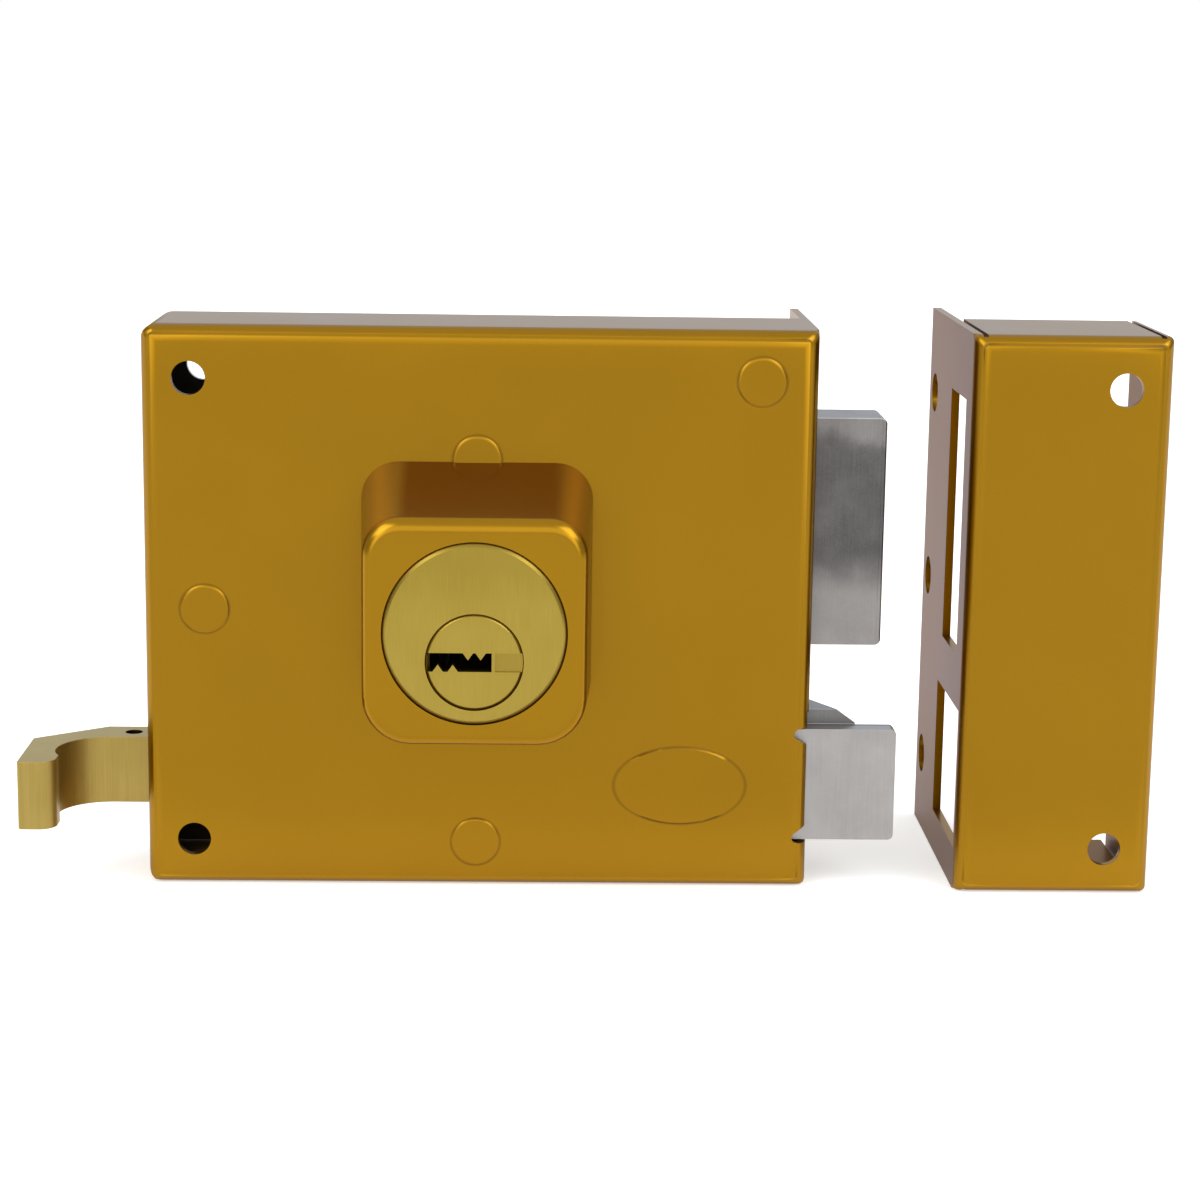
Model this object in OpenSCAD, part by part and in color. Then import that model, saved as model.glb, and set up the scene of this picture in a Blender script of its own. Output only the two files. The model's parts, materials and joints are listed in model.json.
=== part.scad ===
// Rim box lock: a folded steel case with a key cylinder in a raised boss, a key-driven dead bolt, a spring
// latch drawn by a hook pull, and a separate strike box for the door frame. Millimetres.
// +X points to the bolts, +Y into the door and +Z up. The origin is on the cylinder axis in the door's plane.

/* [Case] */
// Width of the case
case_w = 120; // [114:1:150]
// Height of the case
case_h = 102; // [100:1:130]
// Depth of the case from the door's plane to its front
case_d = 25; // [24:0.5:34]
// Sheet thickness of the case
case_sheet = 1.5; // [1:0.1:2]
// Outer radius of the case's bends
case_bend = 3; // [2.2:0.1:4]
// Reach of the forend behind the door's plane
forend_reach = 20; // [14:1:32]
// Cylinder axis from the left wall
axis_x = 59.5; // [57:0.5:66]
// Cylinder axis from the bottom
axis_z = 51.2; // [49:0.1:58]
// Thickness of the back plate
back_t = 1.5; // [1.2:0.1:2.5]
// Diameter of the back plate's hole for an outside cylinder
back_bore_d = 24; // [16:1:30]

/* [Fixings] */
// Diameter of the screw holes through the case and the strike's front
screw_d = 6; // [4:0.2:7]
// Screw holes' distance from the side edges
screw_edge = 8.5; // [7.5:0.1:10]
// Lower screw hole's distance from the bottom
screw_low = 8.6; // [7.5:0.1:10]
// Upper screw hole's distance from the top
screw_high = 9.4; // [7.5:0.1:10.5]
// Diameter of the screw holes in the forend and the strike's flange
flange_hole_d = 7.4; // [3.5:0.1:7.8]
// Those holes' distance from the flange's rear edge
flange_hole_edge = 6.5; // [5:0.5:7]
// Distance between the holes along the flange
flange_hole_pitch = 35.9; // [26:0.1:38]
// Those holes' drop below the middle of the flange
flange_hole_drop = 0.7; // [0:0.1:2]

/* [Pillars] */
// Diameter of a pillar's body
pillar_d = 10; // [9.6:0.1:11]
// Diameter of the pillar's riveted end, seen as a ring on the front
rivet_d = 9; // [6:0.1:9.4]
// Height of the riveted end above the painted front
rivet_proud = 0.25; // [0.1:0.05:0.5]
// Diameter of the pillar's neck through the front
rivet_neck_d = 6.4; // [5:0.1:7]
// Left pillar's distance from the left wall
pillar_left = 10.9; // [9:0.1:12]
// Corner pillar's distance from the forend
pillar_right = 10.2; // [9:0.1:12]
// Corner pillar's distance from the top
pillar_top = 9; // [8:0.1:10]
// Lower pillar's height above the bottom
pillar_bottom = 8.4; // [7.2:0.1:8.8]
// Upper pillar's height above the cylinder axis
pillar_above = 27.3; // [26:0.1:30]
// Thread diameter of the back plate's screws
plate_screw_d = 4; // [3:0.5:5]

/* [Cylinder boss] */
// Width of the boss at its front
boss_w = 38.8; // [38:0.1:44]
// Boss front's reach above the cylinder axis
boss_up = 19.4; // [19:0.2:22]
// Boss front's reach below the cylinder axis
boss_down = 19.8; // [18:0.2:22]
// Height of the boss above the case
boss_proud = 20; // [12:0.5:26]
// Corner radius of the boss
boss_round = 8.4; // [6:0.1:9]
// Corner radius at the boss's top
boss_top_round = 6.6; // [5:0.1:9]
// Radius round the boss's front edge
boss_edge = 1.8; // [1:0.1:3.5]
// Rise of the sloping top from the boss's front to its foot
boss_slope = 7.6; // [0:0.1:9]
// Spread of the other three sides from front to foot
boss_draft = 1.2; // [0:0.1:2]
// Thread diameter of the boss's screws
boss_screw_d = 3.5; // [2.5:0.1:3.6]

/* [Cylinder] */
// Diameter of the cylinder
cyl_d = 32; // [30:0.5:33]
// Cylinder's reach behind the case's front
cyl_inside = 11; // [9.5:0.1:11.6]
// Cylinder face's height above the boss
cyl_proud = 0.4; // [0.2:0.1:1.5]
// Bevel round the cylinder's face
cyl_bevel = 0.7; // [0.3:0.1:1.2]
// Diameter of the plug's head
plug_d = 17; // [16:0.1:18]
// Diameter of the plug's barrel
barrel_d = 15.6; // [14.6:0.1:15.8]
// Plug's centre below the cylinder's
plug_drop = 4.9; // [4:0.1:5.4]
// Thickness of the plug's head
plug_head_t = 3; // [2:0.1:3.2]
// Bevel round the plug's head
plug_bevel = 0.5; // [0.2:0.1:1]
// Height of the keyway
keyway_h = 3.3; // [2.8:0.05:3.9]
// Keyway's reach to the right of the plug's centre
keyway_right = 3; // [2:0.1:4.5]
// Depth of the keyway
keyway_depth = 28; // [22:0.5:29]
// Number of pin stacks
pin_count = 5; // [3:1:5]
// Diameter of the pins
pin_d = 2.6; // [2:0.1:2.8]
// Distance from pin to pin
pin_pitch = 3.6; // [3.3:0.1:3.7]

/* [Dead bolt] */
// Height of the bolt's head
bolt_h = 42; // [34:0.5:43]
// Bolt head's height above the case's bottom
bolt_low = 43.6; // [42.6:0.1:44.6]
// Thickness of the bolt's head
bolt_t = 12; // [10:0.5:12.5]
// Bolt's distance behind the case's front
bolt_set = 9.5; // [8:0.5:10]
// Throw of the bolt for the quarter turn that drives it
bolt_throw = 13.5; // [11:0.5:14.5]
// Length of the bolt's head inside the case
bolt_inside = 26; // [25:0.5:28]
// Thickness of the bolt's tail
tail_t = 2; // [1.5:0.1:2.5]
// Thickness of the driving cam
cam_t = 3.2; // [2.5:0.1:3.4]
// Diameter of the cam's finger
finger_d = 5; // [4:0.1:5.5]

/* [Latch] */
// Height of the latch's front plate
latch_h = 20.8; // [18:0.2:21]
// Latch's height above the case's bottom
latch_low = 8.7; // [7.6:0.1:9]
// Throw of the latch
latch_throw = 16; // [12:0.5:16.5]
// Thickness of the latch's front plate
latch_plate = 4.2; // [4:0.1:5]
// Depth of the latch's body behind its plate
latch_body = 11; // [10.4:0.1:12]
// Rise of the body above the plate
latch_rise = 2.8; // [1:0.1:2.9]
// Body's reach past the forend
latch_body_out = 8.9; // [6:0.1:10]
// Length of the latch inside the case
latch_inside = 30; // [28:0.5:32]
// Height of the bar between the latch and the pull
bar_h = 8; // [6:0.1:8.4]
// Thickness of that bar
bar_t = 3; // [2:0.1:3.4]
// Diameter of the spring's guide rod
rod_d = 3; // [2:0.1:3.2]
// Wire of the latch spring
latch_wire = 0.8; // [0.5:0.05:0.9]
// Mean diameter of the latch spring
latch_coil_d = 5.2; // [5:0.1:5.8]
// Turns of the latch spring
latch_turns = 9; // [6:1:11]

/* [Pull] */
// Height of the pull
pull_h = 12.4; // [10.6:0.2:14]
// Thickness of the pull's arm
pull_t = 8.2; // [7:0.2:9.6]
// Pull's centre above the case's bottom
pull_z = 18.4; // [18:0.1:19]
// Arm's middle behind the case's front
pull_set = 15.6; // [15.4:0.1:16.2]
// Reach of the pull from the left wall
pull_out = 22; // [19:0.1:28]
// Width of the pull's tip
tip_w = 6.6; // [5:0.1:8]
// Tip's reach in front of the case's front
tip_fwd = 7.5; // [4:0.5:12]
// Radius of the pull's inner curve
pull_curve = 9; // [6:0.1:10]
// Diameter of the pull's pin
pull_pin_d = 3; // [2:0.1:3.4]

/* [Strike] */
// Width of the strike box
strike_w = 35.5; // [32:0.5:48]
// Height of the strike box
strike_h = 102; // [100:1:130]
// Depth of the strike box
strike_d = 31; // [29:0.5:40]
// Depth of its long wall, with the flange
strike_wall = 54; // [46:1:70]
// Sheet thickness of the strike
strike_sheet = 1.5; // [1:0.1:2.4]
// Outer radius of the strike's bends
strike_bend = 3; // [2.6:0.1:4]
// Distance from the forend to the strike
strike_gap = 27; // [18:0.5:40]
// Strike's front before the case's front
strike_fwd = 3; // [0:0.5:4]
// Width of the open seams at the strike's corners
strike_seam = 0.9; // [0.4:0.1:1.5]

/* [Hidden] */
$fn = 64;

// Clearances: seats that stay together, turning fits, moving pieces, and thin cuts past a face
seat = 0.05;
turn_fit = 0.05;
run = 0.4;
past = 1;

// Finishes
gold_paint = [0.66, 0.49, 0.10];
brass = [0.71, 0.63, 0.30];
zinc = [0.66, 0.65, 0.64];
steel = [0.55, 0.56, 0.57];

// Case walls, inside and out
x_left = -axis_x;
x_right = case_w - axis_x;
z_low = -axis_z;
z_top = case_h - axis_z;
y_front = -case_d;
y_inner = y_front + case_sheet;
y_plate = -back_t;

// Layers behind the cylinder, from front to back
y_boss = y_front - boss_proud;
y_face = y_boss - cyl_proud;
y_cyl_end = y_front + cyl_inside;
y_cam = y_cyl_end + run;
y_cam_end = y_cam + cam_t;
y_tail = y_cam_end + 2 * run;
y_tail_end = y_tail + tail_t;

// Screw and pillar places, seen from the front
case_screws = [for (z = [z_low + screw_low, z_top - screw_high]) [x_left + screw_edge, z]];
pillar_places = [[x_right - pillar_right, z_top - pillar_top], [x_left + pillar_left, 0],
    [0, z_low + pillar_bottom], [0, pillar_above]];
forend_holes = [for (i = [-1, 1]) z_low + case_h / 2 - flange_hole_drop + i * flange_hole_pitch];
strike_holes = [for (i = [-1, 0, 1]) z_low + strike_h / 2 - flange_hole_drop + i * flange_hole_pitch];

// Oval pad on the front, from the right and bottom edges
oval_w = 24;
oval_h = 14.5;
oval_in = 23.5;
oval_up = 19.2;
oval_proud = 0.25;

// Width of the soft slope round the oval and the rivets
soft_edge = 0.5;

// Boss screws, square about the cylinder, and the collar that they hold
boss_screw_x = 14;
boss_screw_z = 13.4;
collar_side = 5.5;
collar_over = 4.5;
collar_w = 2 * (boss_screw_x + collar_side);
collar_h = 2 * (boss_screw_z + collar_over);
collar_t = 2.5;
boss_thread = 10;
screw_head = 2;

// Thin rim between the keyway's end and the plug's edge
keyway_rim = 0.4;

// Pin stacks, measured from the plug's axis
pin_hole_r = pin_d / 2 + 0.1;
pin_first = y_face + plug_head_t + 2.2;
key_pin_low = keyway_h / 2 + 0.2;
key_pin_high = barrel_d / 2 - 0.25;
driver_low = barrel_d / 2 + run;
driver_high = driver_low + 4.6;
pin_spring_high = driver_high + 4.8;
cap_high = cyl_d / 2 + plug_drop - 0.5;
pin_wire = 0.35;
pin_turns = 5;

// Dead bolt drive: the finger swings 45 degrees either side of the top
finger_swing = 45;
finger_r = bolt_throw / 2 / sin(finger_swing);
cam_hub_r = plug_d / 2 + 0.5;
cam_screw_x = 4.4;
cam_screw_d = 2.5;
cam_screw_hole = 5;
y_finger_end = y_tail_end + run;
notch_w = finger_d + 2 * run;
notch_top = finger_r - plug_drop + finger_d / 2 + run;
tail_low = finger_r * cos(finger_swing) - plug_drop - finger_d / 2 + 0.8;
tail_over = 12;
tail_run_on = 14;
tail_top = notch_top + tail_over;
tail_left = -bolt_throw - tail_run_on;
relief_side = 8;
relief_drop = 4;
rivet_in = 4;
tail_lap = 14;
bolt_back = x_right - bolt_inside;
guide_x = -18;
guide_z = notch_top + 6;
guide_d = 6;
shoulder_d = 9;
stud_head = 1.5;
rivet_shank = 4;
rivet_dome = 0.8;

// Leaf spring on the tail
leaf_t = 0.7;
leaf_w = 5;
leaf_stud_d = 4;
leaf_ring = leaf_stud_d / 2 + seat + leaf_t;
leaf_x = -14;
leaf_z = pillar_above + pillar_d / 2 + seat + leaf_t - leaf_ring;
leaf_foot_in = 2.5;
leaf_foot = [tail_left + leaf_foot_in, tail_top + run + leaf_t];
leaf_arm = [leaf_foot[0] - leaf_x, leaf_foot[1] - (leaf_z - leaf_ring + leaf_t / 2)];

// Latch, its bar and its spring
z_latch = z_low + latch_low;
z_plate_top = z_latch + latch_h;
z_body_top = z_plate_top + latch_rise;
y_latch = y_inner + run;
y_body = y_latch + latch_plate;
y_body_end = y_body + latch_body;
latch_back = x_right - latch_inside;
latch_lap = 15;
latch_tip_r = 1;
z_bar = z_low + pull_z;
y_bar = y_front + pull_set;
tongue = 6.5;
tongue_t = pull_pin_d + 2;
rod_z = z_body_top - 4.2;
rod_y = y_body + 1.2;
rod_seat = 6;
bracket_x = 2;
bracket_t = 1.5;
bracket_h = 6.4;
bracket_foot = 10;
rod_tail = 8;

// Lever between the cam and the latch bar
lever_x = -30;
lever_rise = 0.8;
lever_z = lever_rise - plug_drop;
lever_d = 6;
lever_hub_r = 6;
lever_t = 2;
lever_w = 9;
lever_pin_d = 4;
lever_h = lever_z - z_bar;
lever_half = atan(latch_throw / 2 / lever_h);
lever_pin_x = lever_x + latch_throw / 2;
lever_droop = 20;
lever_short = 8.2;
lever_reach = -lever_x - lever_short;
lever_end_r = 2;
y_lever = y_cam + 0.3;
y_lever_end = y_lever + lever_t;
clip_t = 0.7;

// Pull, in plan
pull_root = x_left - 0.5;
pull_tip = x_left - pull_out;
tip_inner = pull_tip + tip_w;
y_tip = y_front - tip_fwd;
arm_front = y_bar - pull_t / 2;
arm_back = y_bar + pull_t / 2;
back_run = 9.6;
back_drop = 9.4;
tip_outer_r = 0.8;
tip_inner_r = 3;
tip_under = 1.2;
pull_pin_in = 4.3;
pull_pin_x = x_left - pull_pin_in;

// Strike box and its two windows
sx = x_right + strike_gap;
sx_end = sx + strike_w;
sy = y_front - strike_fwd;
sy_end = sy + strike_d;
sy_wall = sy + strike_wall;
sz_end = z_low + strike_h;
window_play = 1;
window_front = 3.6;
window_rear = 1.8;
window_above = 4;
latch_window_deep = 9.9;
bolt_window = [y_front + bolt_set - window_front, y_front + bolt_set + bolt_t + window_rear,
    z_low + bolt_low - window_play, z_low + bolt_low + bolt_h + window_above];
latch_window = [y_body_end + latch_window_deep, z_latch - window_play, z_body_top + window_play];
strike_screw_x = sx_end - screw_edge;

// Extrudes a plan of depth and height along X
module along_x(x, length) {
    translate([x, 0, 0]) rotate([90, 0, 90]) linear_extrude(length) children();
}

// Extrudes a front view along Y
module along_y(y, length) {
    translate([0, y + length, 0]) rotate([90, 0, 0]) linear_extrude(length) children();
}

// Extrudes a plan along Z
module along_z(z, length) {
    translate([0, 0, z]) linear_extrude(length) children();
}

// A block between two corners
module block(low, high) {
    translate(low) cube(high - low);
}

// A round along Y, at a place on the front view
module round_y(place, y, y_end, d) {
    translate([place[0], y_end, place[1]]) rotate([90, 0, 0]) cylinder(h = y_end - y, d = d);
}

// A round along X, and one along Z
module round_x(x, x_end, y, z, d) {
    translate([x, y, z]) rotate([0, 90, 0]) cylinder(h = x_end - x, d = d);
}

module round_z(x, y, z, z_end, d) {
    translate([x, y, z]) cylinder(h = z_end - z, d = d);
}

// A cone along Y from one diameter to another
module cone_y(place, y, y_end, d, d_end) {
    translate([place[0], y, place[1]]) rotate([-90, 0, 0]) cylinder(h = y_end - y, d1 = d, d2 = d_end);
}

// A rectangle with all four corners rounded
module round_rect(low, high, r) {
    translate(low + [r, 0]) square(high - low - [2 * r, 0]);
    translate(low + [0, r]) square(high - low - [0, 2 * r]);
    for (x = [low[0] + r, high[0] - r], y = [low[1] + r, high[1] - r]) translate([x, y]) circle(r);
}

// A folded sheet box, rounded on its front edges, as a solid block
module folded_block(low, high, r) {
    beyond = high[1] + 4 * r;
    intersection() {
        along_z(low[2], high[2] - low[2]) round_rect([low[0], low[1]], [high[0], beyond], r);
        along_x(low[0], high[0] - low[0]) round_rect([low[1], low[2]], [beyond, high[2]], r);
        block(low, high);
    }
}

// A countersunk screw along Y: its head's face is at y, and it points to the front
module flush_screw(place, y, length, d) {
    round_y(place, y - length, y, d);
    cone_y(place, y - d / 2, y, d, 2 * d);
}

// A pan head screw along Y: the shank runs forward from under its head at y
module pan_screw(place, y, length, d) {
    round_y(place, y - length, y + screw_head, d);
    round_y(place, y, y + screw_head, 1.8 * d);
}

// A coil of wire round the Z axis, from 0 to its height, with closed triangle faces
module coil(mean_r, wire_d, height, turns, sides = 6, rings = 10) {
    count = turns * rings;
    wire_r = wire_d / 2;
    climb = height - wire_d;
    points = [for (i = [0 : count], k = [0 : sides - 1])
        let (a = 360 * i / rings, b = 360 * k / sides, r = mean_r + wire_r * cos(b))
        [r * cos(a), r * sin(a), wire_r + climb * i / count + wire_r * sin(b)]];
    walls = [for (i = [0 : count - 1], k = [0 : sides - 1], half = [0, 1])
        let (a = i * sides + k, b = i * sides + (k + 1) % sides)
        half == 0 ? [a, b, a + sides] : [b, b + sides, a + sides]];
    start = [for (k = [1 : sides - 2]) [0, k + 1, k]];
    end = [for (k = [1 : sides - 2]) [count * sides, count * sides + k, count * sides + k + 1]];
    polyhedron(points, concat(walls, start, end));
}

// Folded case: front, four walls and the forend that runs on behind the door's plane
module lock_case() {
    color(gold_paint) difference() {
        union() {
            intersection() {
                folded_block([x_left, y_front, z_low], [x_right, 0, z_top], case_bend);
                along_y(y_front, case_d) round_rect([x_left, z_low], [x_right + case_bend, z_top], case_bend);
            }
            block([x_right - case_sheet, -case_bend, z_low], [x_right, forend_reach, z_top]);
            translate([x_right - oval_in, 0, z_low + oval_up]) scale([1, 1, oval_h / oval_w])
                cone_y([0, 0], y_front - oval_proud, y_front + oval_proud, oval_w - 2 * soft_edge,
                    oval_w + 2 * soft_edge);
        }
        folded_block([x_left, y_inner, z_low] + [case_sheet, 0, case_sheet],
            [x_right, forend_reach + past, z_top] - [case_sheet, 0, case_sheet], case_bend - case_sheet);
        case_front_holes();
        case_bolt_windows();
        block([x_left - past, y_bar - bar_t / 2 - run, z_bar - bar_h / 2 - run],
            [x_left + case_sheet + past, y_bar + bar_t / 2 + run, z_bar + bar_h / 2 + run]);
        for (z = forend_holes) round_x(x_right - case_sheet - past, x_right + past,
            forend_reach - flange_hole_edge, z, flange_hole_d);
    }
}

// Holes through the case's front for the cylinder, the pillars and the screws
module case_front_holes() {
    round_y([0, 0], y_front - past, y_inner + past, cyl_d + 4 * seat);
    for (place = pillar_places) round_y(place, y_front - past, y_inner + past, rivet_neck_d + 2 * seat);
    for (place = case_screws) round_y(place, y_front - past, y_inner + past, screw_d);
    for (x = [-boss_screw_x, boss_screw_x], z = [-boss_screw_z, boss_screw_z])
        round_y([x, z], y_front - past, y_inner + past, boss_screw_d + 2 * seat);
}

// Windows in the forend for the dead bolt and the latch, and the latch window's two relief ears
module case_bolt_windows() {
    wall = x_right - case_sheet - past;
    ear = 2.8;
    ear_r = 1.1;
    ear_turn = 31;
    ear_h = ear_r * (1 + cos(ear_turn)) + (ear - ear_r * (1 - sin(ear_turn)) + past) * tan(ear_turn);
    low = z_latch - run;
    high = z_plate_top + run;
    block([wall, y_front + bolt_set - run, z_low + bolt_low - run],
        [x_right + past, y_front + bolt_set + bolt_t + run, z_low + bolt_low + bolt_h + run]);
    block([x_right - case_bend, y_inner, low], [x_right + past, y_body_end + run, z_body_top + run]);
    along_y(y_front - past, case_bend + past) for (up = [1, -1]) {
        z = up > 0 ? low : high;
        middle = [x_right - ear + ear_r, z + up * ear_r];
        translate(middle) circle(ear_r);
        polygon([[middle[0], z], [x_right + past, z], [x_right + past, z + up * ear_h],
            middle + ear_r * [-sin(ear_turn), up * cos(ear_turn)]]);
    }
}

// Flat plate that closes the back of the case
module back_plate() {
    color(steel) difference() {
        block([x_left, y_plate, z_low] + [1, 0, 1] * (case_sheet + 2 * seat),
            [x_right, 0, z_top] - [1, 0, 1] * (case_sheet + 2 * seat));
        round_y([0, 0], y_plate - past, past, back_bore_d);
        for (place = case_screws) round_y(place, y_plate - past, past, screw_d);
        for (place = pillar_places) {
            round_y(place, y_plate - past, past, plate_screw_d + 2 * seat);
            cone_y(place, -plate_screw_d / 2, 0, plate_screw_d + 2 * seat, 2 * plate_screw_d + 2 * seat);
        }
        for (place = [[guide_x, guide_z], [leaf_x, leaf_z], [lever_x, lever_z], bracket_rivet_place()])
            round_y(place, y_plate - past, past, rivet_shank + 2 * seat);
    }
}

// Four posts riveted into the front, which carry the back plate
module pillars() {
    color(steel) for (place = pillar_places) difference() {
        union() {
            round_y(place, y_inner, y_plate, pillar_d);
            round_y(place, y_front, y_inner, rivet_neck_d);
            cone_y(place, y_front - rivet_proud, y_front, rivet_d - 2 * soft_edge, rivet_d);
        }
        round_y(place, y_plate - case_d / 2, y_plate + past, plate_screw_d + 2 * seat);
        cone_y(place, y_plate - plate_screw_d / 2, 0, plate_screw_d / 2, 2 * plate_screw_d + 2 * seat);
    }
}

module back_plate_screws() {
    color(steel) for (place = pillar_places) flush_screw(place, 0, case_d / 2, plate_screw_d);
}

// One rounded slice of the boss, at a depth from its foot (0) to its front (1)
module boss_slice(share, inset) {
    slice_t = 0.01;
    low = [-boss_w / 2, -boss_down] - [1, 1] * (boss_draft * (1 - share) - inset);
    high = [boss_w / 2 + boss_draft * (1 - share), boss_up + boss_slope * (1 - share)] - [1, 1] * inset;
    along_y(y_front - boss_proud * share - slice_t * (1 - share), slice_t)
        round_rect(low, high - [0, boss_round], boss_round - inset, $fn = 32);
    along_y(y_front - boss_proud * share - slice_t * (1 - share), slice_t)
        round_rect(low + [0, boss_round], high, boss_top_round - inset, $fn = 32);
}

// Boss round the cylinder: straight below, sloping on top, with a rounded front edge and room for a rivet
module cylinder_boss() {
    color(gold_paint) difference() {
        hull() {
            boss_slice(0, 0);
            for (a = [0 : 15 : 90])
                boss_slice(1 - boss_edge * (1 - sin(a)) / boss_proud, boss_edge * (1 - cos(a)));
        }
        round_y([0, 0], y_boss - past, y_front + past, cyl_d + 4 * seat);
        for (place = pillar_places)
            round_y(place, y_front - rivet_proud - seat, y_front + past, rivet_d + 4 * seat);
        for (x = [-boss_screw_x, boss_screw_x], z = [-boss_screw_z, boss_screw_z])
            round_y([x, z], y_front - boss_thread, y_front + past, boss_screw_d + 2 * seat);
    }
}

module boss_screws() {
    color(steel) for (x = [-boss_screw_x, boss_screw_x], z = [-boss_screw_z, boss_screw_z])
        pan_screw([x, z], y_inner + collar_t, collar_t + case_sheet + boss_thread - run, boss_screw_d);
}

// Brass cylinder with a collar behind the case's front, the plug's bore and the pin chambers above it
module cylinder_body() {
    axis = [0, -plug_drop];
    color(brass) difference() {
        union() {
            round_y([0, 0], y_face + cyl_bevel, y_cyl_end, cyl_d);
            cone_y([0, 0], y_face, y_face + cyl_bevel, cyl_d - 2 * cyl_bevel, cyl_d);
            block([-collar_w / 2, y_inner, -collar_h / 2], [collar_w / 2, y_inner + collar_t, collar_h / 2]);
        }
        round_y(axis, y_face - past, y_face + plug_head_t + run, plug_d + 2 * turn_fit);
        round_y(axis, y_face, y_cyl_end + past, barrel_d + 2 * turn_fit);
        for (i = [0 : pin_count - 1])
            round_z(0, pin_first + i * pin_pitch, -plug_drop, cyl_d, 2 * pin_hole_r);
        for (x = [-boss_screw_x, boss_screw_x], z = [-boss_screw_z, boss_screw_z])
            round_y([x, z], y_inner - past, y_inner + collar_t + past, boss_screw_d + 2 * seat);
    }
}

// Keyway seen from the front: a flat slot with two wards below and two above
module keyway() {
    left = keyway_rim - plug_d / 2;
    low = -keyway_h / 2;
    ward_w = 1.8;
    ward_h = 1.25;
    lower_wards = [-6.3, -3.7];
    upper_wards = [-1.1, 1.1];
    difference() {
        translate([left, low]) square([keyway_right - left, keyway_h]);
        for (x = lower_wards) translate([x, low])
            polygon([[-ward_w / 2, -past], [-ward_w / 2, 0], [0, ward_h],
                [ward_w / 2, 0], [ward_w / 2, -past]]);
        for (x = upper_wards) translate([x, -low])
            polygon([[-ward_w / 2, past], [-ward_w / 2, 0], [0, -ward_h],
                [ward_w / 2, 0], [ward_w / 2, past]]);
    }
}

// Turning plug with its keyway, a shallow groove beside it and the key pins' chambers
module plug() {
    axis = [0, -plug_drop];
    groove = 0.4;
    divider = 0.6;
    color(brass) difference() {
        union() {
            cone_y(axis, y_face, y_face + plug_bevel, plug_d - 2 * plug_bevel, plug_d);
            round_y(axis, y_face + plug_bevel, y_face + plug_head_t, plug_d);
            round_y(axis, y_face + plug_head_t, y_cam, barrel_d);
        }
        translate([0, 0, -plug_drop]) along_y(y_face - past, keyway_depth + past) keyway();
        block([keyway_right + divider, y_face - past, -plug_drop - keyway_h / 2],
            [plug_d, y_face + groove, -plug_drop + keyway_h / 2]);
        for (i = [0 : pin_count - 1])
            round_z(0, pin_first + i * pin_pitch, -plug_drop, barrel_d, 2 * pin_hole_r);
        for (x = [-cam_screw_x, cam_screw_x])
            round_y([x, -plug_drop], y_cam - cam_screw_hole, y_cam + past, cam_screw_d + 2 * seat);
    }
}

// Pins in the plug, with blunt points that ride on the key
module key_pins() {
    tip = 0.8;
    color(brass) for (i = [0 : pin_count - 1])
        translate([0, pin_first + i * pin_pitch, key_pin_low - plug_drop]) {
            cylinder(h = tip, d1 = pin_d / 2, d2 = pin_d);
            translate([0, 0, tip]) cylinder(h = key_pin_high - key_pin_low - tip, d = pin_d);
        }
}

module driver_pins() {
    color(steel) for (i = [0 : pin_count - 1])
        round_z(0, pin_first + i * pin_pitch, driver_low - plug_drop, driver_high - plug_drop, pin_d);
}

module pin_springs() {
    color(steel) for (i = [0 : pin_count - 1])
        translate([0, pin_first + i * pin_pitch, driver_high - plug_drop + seat])
            coil(pin_d / 2 - pin_wire, pin_wire, pin_spring_high - driver_high - 2 * seat, pin_turns, 5, 8);
}

module pin_caps() {
    color(brass) for (i = [0 : pin_count - 1])
        round_z(0, pin_first + i * pin_pitch, pin_spring_high - plug_drop, cap_high - plug_drop,
            2 * (pin_hole_r - seat / 2));
}

// Cam on the plug's end: its finger drives the bolt's tail, and an outside key's tail bar enters its slot
module drive_cam() {
    arm_w = finger_d + 2;
    slot = [2.4, 8];
    color(steel) translate([0, 0, -plug_drop]) difference() {
        union() {
            along_y(y_cam, cam_t) difference() {
                union() {
                    circle(cam_hub_r);
                    rotate(-finger_swing) translate([-arm_w / 2, 0]) square([arm_w, finger_r]);
                    rotate(-finger_swing) translate([0, finger_r]) circle(d = arm_w);
                }
                square(slot, center = true);
            }
            round_y(finger_r * [sin(finger_swing), cos(finger_swing)], y_cam + cam_t / 2, y_finger_end,
                finger_d);
        }
        for (x = [-cam_screw_x, cam_screw_x]) {
            round_y([x, 0], y_cam - past, y_cam_end + past, cam_screw_d + 2 * seat);
            cone_y([x, 0], y_cam_end - cam_screw_d / 2, y_cam_end, cam_screw_d + 2 * seat,
                2 * cam_screw_d + 2 * seat);
        }
    }
}

module cam_screws() {
    color(steel) for (x = [-cam_screw_x, cam_screw_x])
        flush_screw([x, -plug_drop], y_cam_end, cam_t + cam_screw_hole - run, cam_screw_d);
}

// Places of the rivets that join the bolt's tail to its head
function tail_rivet_places() =
    [for (z = [tail_low + rivet_in, tail_top - rivet_in]) [bolt_back + tail_lap / 2, z]];

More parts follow.
